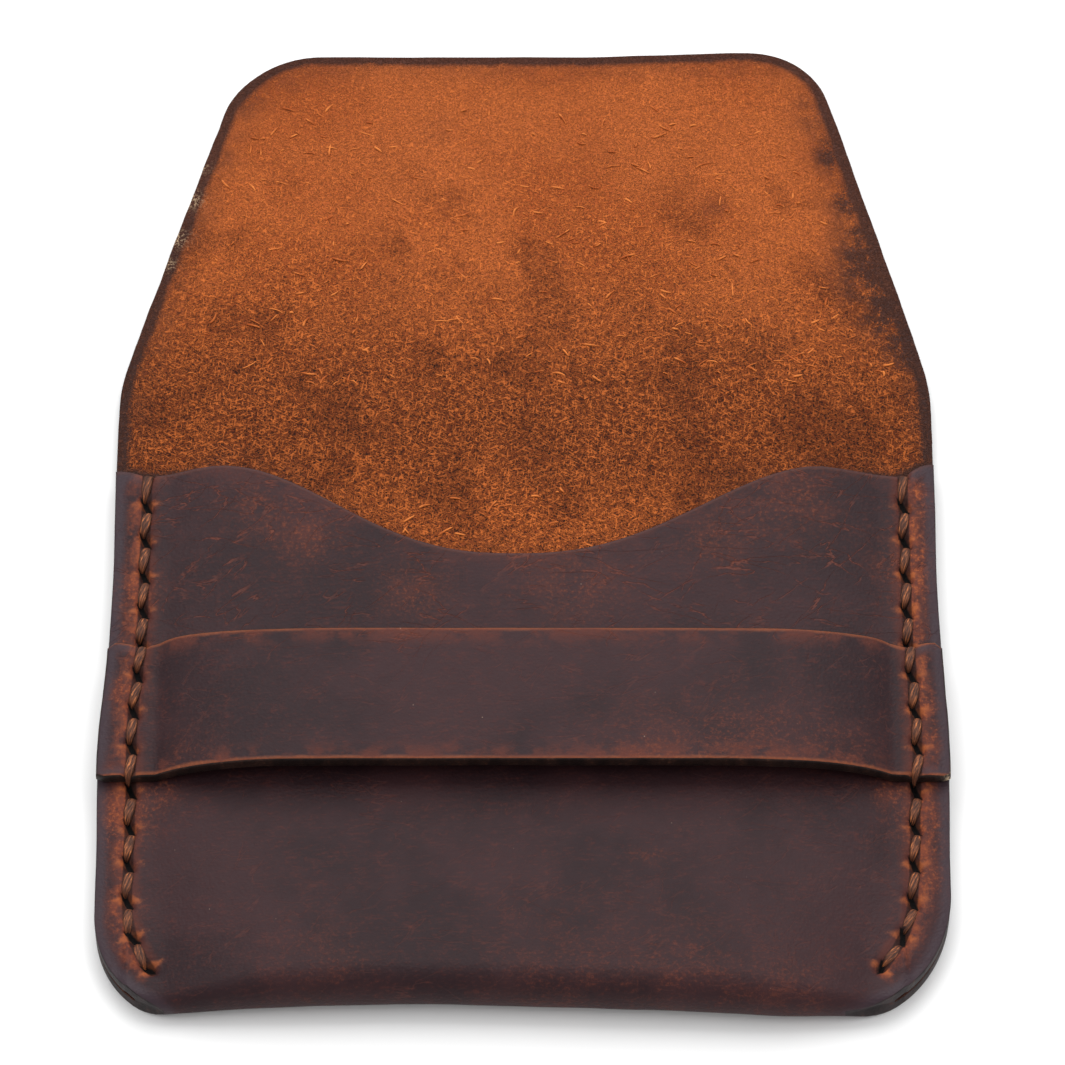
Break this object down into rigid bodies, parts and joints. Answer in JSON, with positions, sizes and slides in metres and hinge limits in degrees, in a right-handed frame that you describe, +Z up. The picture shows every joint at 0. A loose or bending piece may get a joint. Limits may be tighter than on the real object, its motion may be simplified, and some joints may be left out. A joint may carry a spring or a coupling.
{
  "type": "flap card wallet",
  "caption": "Slim leather card wallet with a sewn pocket, a thumb notch, and a long flap that folds over the front and a tuck strap.",
  "frame": {"origin": "middle of the pocket's back face, which the open wallet rests on", "axes": "+X across the wallet, +Y from the bottom fold towards the open flap, +Z up out of the back face"},
  "size_m": [0.1026, 0.1405, 0.009],
  "materials": {
    "grain_leather": "waxed pull-up grain, dark brown, worn orange-brown at ridges and seams",
    "flesh_side": "napped suede flesh side, orange-brown",
    "waxed_thread": "flat waxed thread, mid brown"
  },
  "bodies": {
    "pocket": {"body_leather": "grain_leather", "tuck_strap": "grain_leather", "thread_left": "waxed_thread", "thread_right": "waxed_thread"},
    "crease": {"flap_crease": "flesh_side"},
    "flap": {"flap": "flesh_side"}
  },
  "joints": [
    {"name": "crease_fold", "type": "hinge", "parent": "pocket", "child": "crease", "pos_m": [0, 0.039, 0.0018], "axis": [1, 0, 0], "range_deg": [0, 90]},
    {"name": "flap_fold", "type": "hinge", "parent": "crease", "child": "flap", "pos_m": [0, 0.0469, 0.0018], "axis": [1, 0, 0], "range_deg": [0, 90]}
  ],
  "couplings": [
    {"joint": "flap_fold", "follows": "crease_fold", "ratio": 1}
  ]
}
